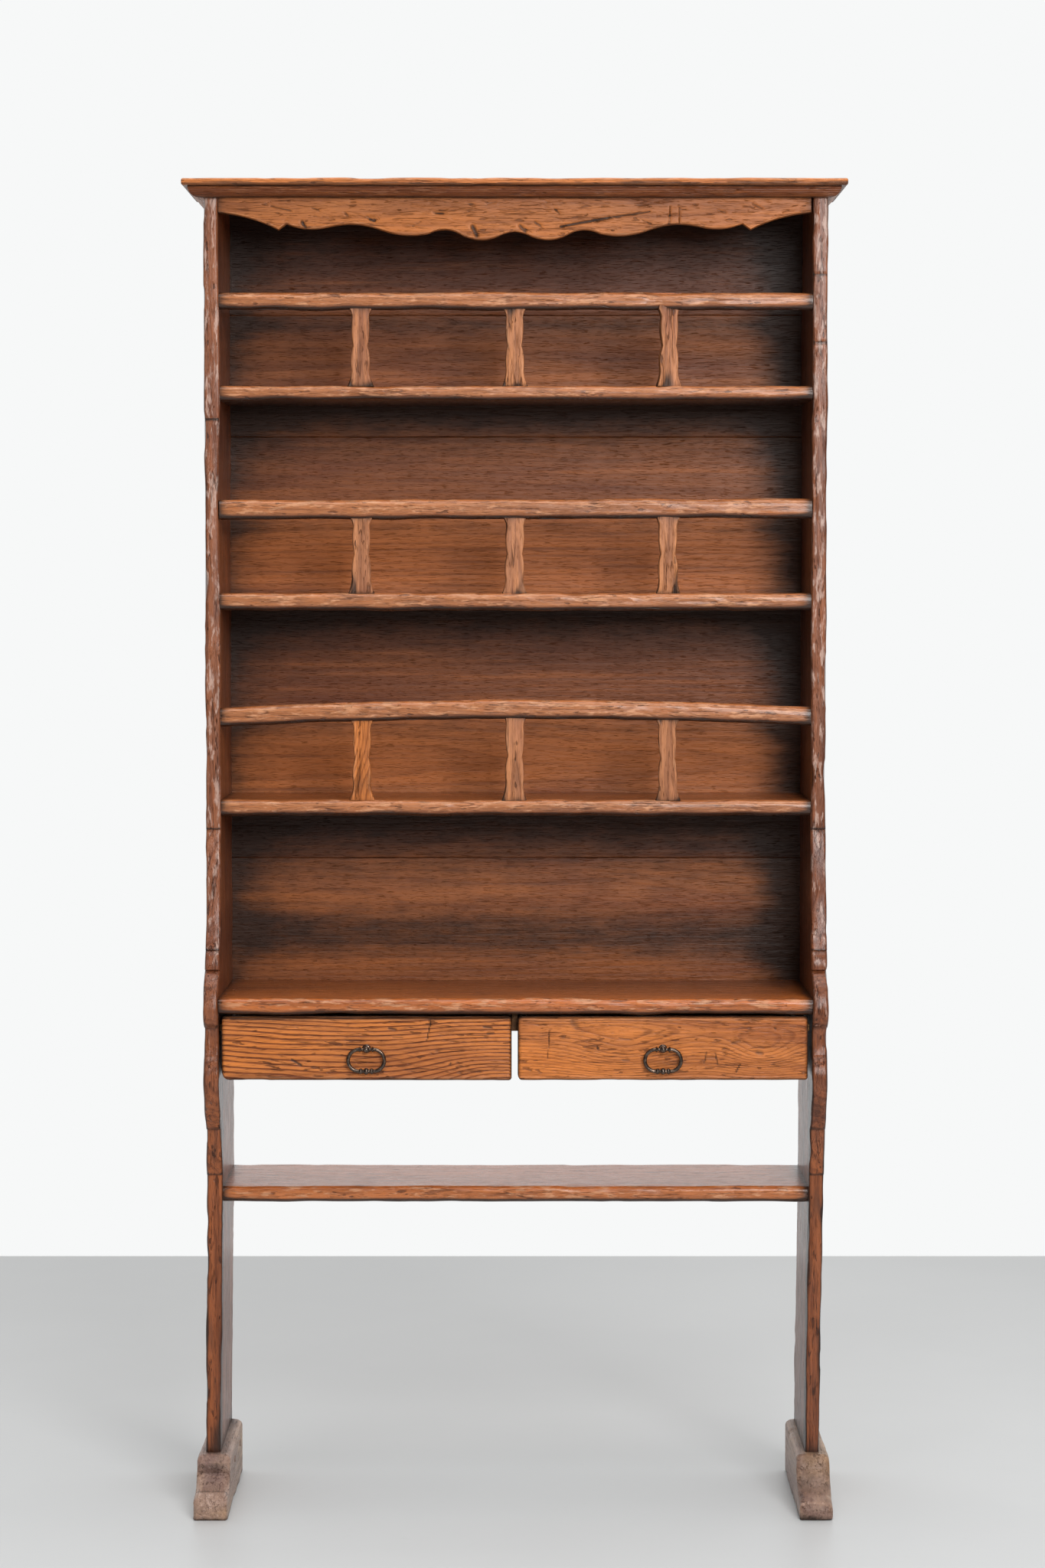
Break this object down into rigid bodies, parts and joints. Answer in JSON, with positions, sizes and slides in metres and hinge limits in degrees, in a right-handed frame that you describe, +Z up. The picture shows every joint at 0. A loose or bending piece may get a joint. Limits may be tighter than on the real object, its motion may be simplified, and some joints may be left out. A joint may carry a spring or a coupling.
{
  "type": "open kitchen dresser",
  "caption": "Open plate-rack dresser in worn oak: shaped sides on sledge feet, shelves with spindled plate rails, a scalloped valance, a counter over ring-pull drawers and a low shelf.",
  "frame": {"origin": "on the floor, midway between the two feet and midway along them", "axes": "+Z up, +X to the right of someone facing the front, front towards -Y"},
  "size_m": [0.98, 0.318, 1.98],
  "materials": {
    "oak_frame": "old waxed oak, rubbed paler on the edges",
    "oak_shelves": "old waxed oak, worn pale along the noses",
    "oak_spindles": "dry, pale worn oak",
    "oak_back": "dark waxed boards with a long straight grain",
    "oak_drawers": "waxed oak with a strong figure",
    "oak_feet": "scuffed, greyed oak",
    "oak_pegs": "dark end grain",
    "drawer_linings": "dry, unpolished softwood",
    "iron": "dark forged iron, rubbed bright on the high points"
  },
  "bodies": {
    "carcase": {"left_side_board": "oak_frame", "left_foot": "oak_feet", "left_foot_pegs": "oak_pegs", "right_side_board": "oak_frame", "right_foot": "oak_feet", "right_foot_pegs": "oak_pegs", "cornice_top_board": "oak_frame", "cornice_front_moulding": "oak_frame", "cornice_left_return": "oak_frame", "cornice_right_return": "oak_frame", "valance": "oak_frame", "upper_plate_shelf": "oak_shelves", "upper_gallery_rail": "oak_shelves", "upper_left_spindle": "oak_spindles", "upper_middle_spindle": "oak_spindles", "upper_right_spindle": "oak_spindles", "middle_plate_shelf": "oak_shelves", "middle_gallery_rail": "oak_shelves", "middle_left_spindle": "oak_spindles", "middle_middle_spindle": "oak_spindles", "middle_right_spindle": "oak_spindles", "lower_plate_shelf": "oak_shelves", "lower_gallery_rail": "oak_shelves", "lower_left_spindle": "oak_spindles", "lower_middle_spindle": "oak_spindles", "lower_right_spindle": "oak_spindles", "counter_shelf": "oak_shelves", "stretcher_shelf": "oak_shelves", "back_board_1": "oak_back", "back_board_2": "oak_back", "back_board_3": "oak_back", "back_board_4": "oak_back", "back_board_5": "oak_back", "back_board_6": "oak_back", "left_drawer_runner": "drawer_linings", "right_drawer_runner": "drawer_linings", "centre_drawer_runner": "drawer_linings"},
    "left_drawer": {"left_drawer_front": "oak_drawers", "left_drawer_left_side": "drawer_linings", "left_drawer_right_side": "drawer_linings", "left_drawer_back": "drawer_linings", "left_drawer_bottom": "drawer_linings", "left_pull_post": "iron", "left_pull_nut": "iron"},
    "left_ring": {"left_pull_ring": "iron"},
    "right_drawer": {"right_drawer_front": "oak_drawers", "right_drawer_left_side": "drawer_linings", "right_drawer_right_side": "drawer_linings", "right_drawer_back": "drawer_linings", "right_drawer_bottom": "drawer_linings", "right_pull_post": "iron", "right_pull_nut": "iron"},
    "right_ring": {"right_pull_ring": "iron"}
  },
  "joints": [
    {"name": "left_drawer_slide", "type": "slide", "parent": "carcase", "child": "left_drawer", "axis": [0, -1, 0], "range_m": [0, 0.17]},
    {"name": "left_ring_swing", "type": "hinge", "parent": "left_drawer", "child": "left_ring", "pos_m": [-0.2195, -0.127, 0.6975], "axis": [-1, 0, 0], "range_deg": [-7, 175]},
    {"name": "right_drawer_slide", "type": "slide", "parent": "carcase", "child": "right_drawer", "axis": [0, -1, 0], "range_m": [0, 0.17]},
    {"name": "right_ring_swing", "type": "hinge", "parent": "right_drawer", "child": "right_ring", "pos_m": [0.2195, -0.127, 0.6975], "axis": [-1, 0, 0], "range_deg": [-7, 175]}
  ]
}
